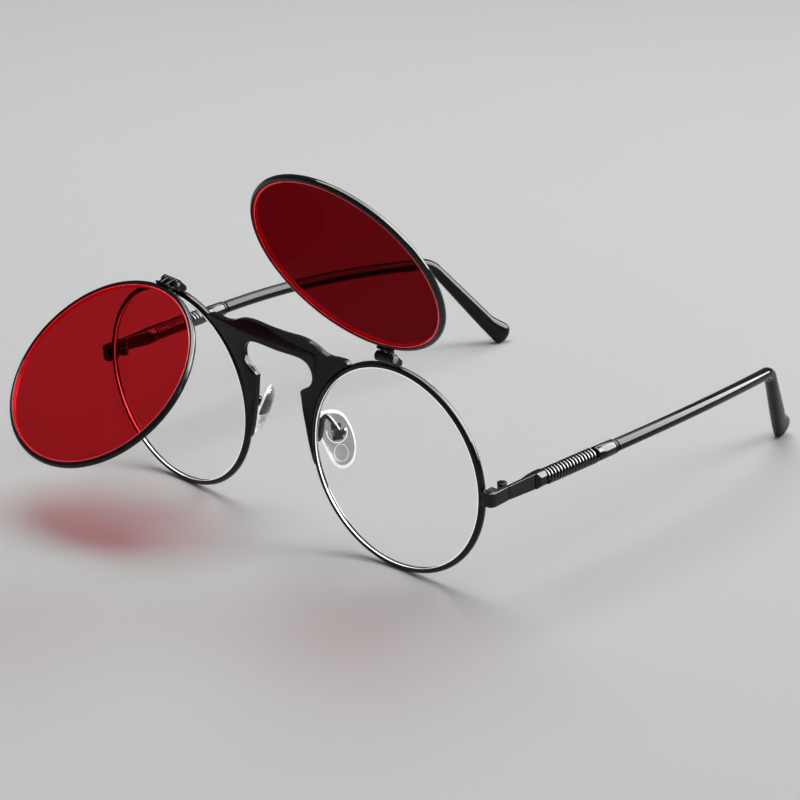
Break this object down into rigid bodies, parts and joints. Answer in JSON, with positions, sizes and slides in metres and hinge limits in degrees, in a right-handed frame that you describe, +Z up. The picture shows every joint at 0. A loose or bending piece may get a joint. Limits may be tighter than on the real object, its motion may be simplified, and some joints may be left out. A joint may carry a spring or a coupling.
{
  "type": "flip up sunglasses",
  "caption": "Round metal spectacles with clear lenses and separately hinged round tinted lenses that flip up in front of them, spring-look temples and silicone nose pads.",
  "frame": {"origin": "on the table under the middle of the overall box, where the rim bottoms and ear tips stand", "axes": "+Z up, +Y back towards the ear tips, +X to the wearer's left; the lenses face -Y"},
  "size_m": [0.1336, 0.1804, 0.0999],
  "materials": {
    "black_metal": "gloss black lacquer on metal",
    "black_spring": "gloss black lacquered spring wire",
    "dark_steel": "dark plated steel wire",
    "screw_steel": "dark steel slotted screws and pins",
    "clear_lens": "clear polished resin lens",
    "tinted_lens": "deep red transparent resin lens",
    "silicone": "clear soft silicone",
    "black_plastic": "gloss black moulded plastic"
  },
  "bodies": {
    "frame": {"bridge_plate": "black_metal", "left_rim": "black_metal", "right_rim": "black_metal", "left_clear_lens": "clear_lens", "right_clear_lens": "clear_lens", "left_rim_lock": "black_metal", "right_rim_lock": "black_metal", "rim_lock_screws": "screw_steel", "left_endpiece": "black_metal", "right_endpiece": "black_metal", "temple_hinge_screws": "screw_steel", "left_flip_hinge_base": "black_metal", "right_flip_hinge_base": "black_metal", "flip_hinge_pins": "screw_steel", "left_pad_arm": "dark_steel", "right_pad_arm": "dark_steel", "nose_pad_screws": "screw_steel"},
    "left_flip": {"left_flip_leaf": "black_metal", "left_flip_rim": "black_metal", "left_flip_lens": "tinted_lens"},
    "right_flip": {"right_flip_leaf": "black_metal", "right_flip_rim": "black_metal", "right_flip_lens": "tinted_lens"},
    "left_pad": {"left_pad_core": "dark_steel", "left_nose_pad": "silicone"},
    "right_pad": {"right_pad_core": "dark_steel", "right_nose_pad": "silicone"},
    "left_temple": {"left_temple_plate": "black_metal", "left_front_ferrule": "black_metal", "left_coil_spring": "black_spring", "left_core_wire": "dark_steel", "left_rear_ferrule": "black_metal", "left_ear_sleeve": "black_plastic"},
    "right_temple": {"right_temple_plate": "black_metal", "right_front_ferrule": "black_metal", "right_coil_spring": "black_spring", "right_core_wire": "dark_steel", "right_rear_ferrule": "black_metal", "right_ear_sleeve": "black_plastic"}
  },
  "joints": [
    {"name": "left_temple_fold", "type": "hinge", "parent": "frame", "child": "left_temple", "pos_m": [0.0623, -0.04085, 0.02663], "axis": [0, -0.0771, 0.997], "range_deg": [0, 86]},
    {"name": "right_temple_fold", "type": "hinge", "parent": "frame", "child": "right_temple", "pos_m": [-0.0623, -0.04085, 0.02663], "axis": [0, 0.0771, -0.997], "range_deg": [0, 80]},
    {"name": "left_flip_up", "type": "hinge", "parent": "frame", "child": "left_flip", "pos_m": [0.0351, -0.05053, 0.05311], "axis": [-0.9986, -0.041, -0.0347], "range_deg": [-154.1, 10.9]},
    {"name": "right_flip_up", "type": "hinge", "parent": "frame", "child": "right_flip", "pos_m": [-0.0351, -0.05053, 0.05311], "axis": [-0.9986, 0.041, 0.0347], "range_deg": [-50.7, 114.3]},
    {"name": "left_pad_rock", "type": "hinge", "parent": "frame", "child": "left_pad", "pos_m": [0.01372, -0.04256, 0.02692], "axis": [0.5274, 0.8444, 0.0937], "range_deg": [-8, 8]},
    {"name": "right_pad_rock", "type": "hinge", "parent": "frame", "child": "right_pad", "pos_m": [-0.01372, -0.04256, 0.02692], "axis": [0.5274, -0.8444, -0.0937], "range_deg": [-8, 8]}
  ]
}
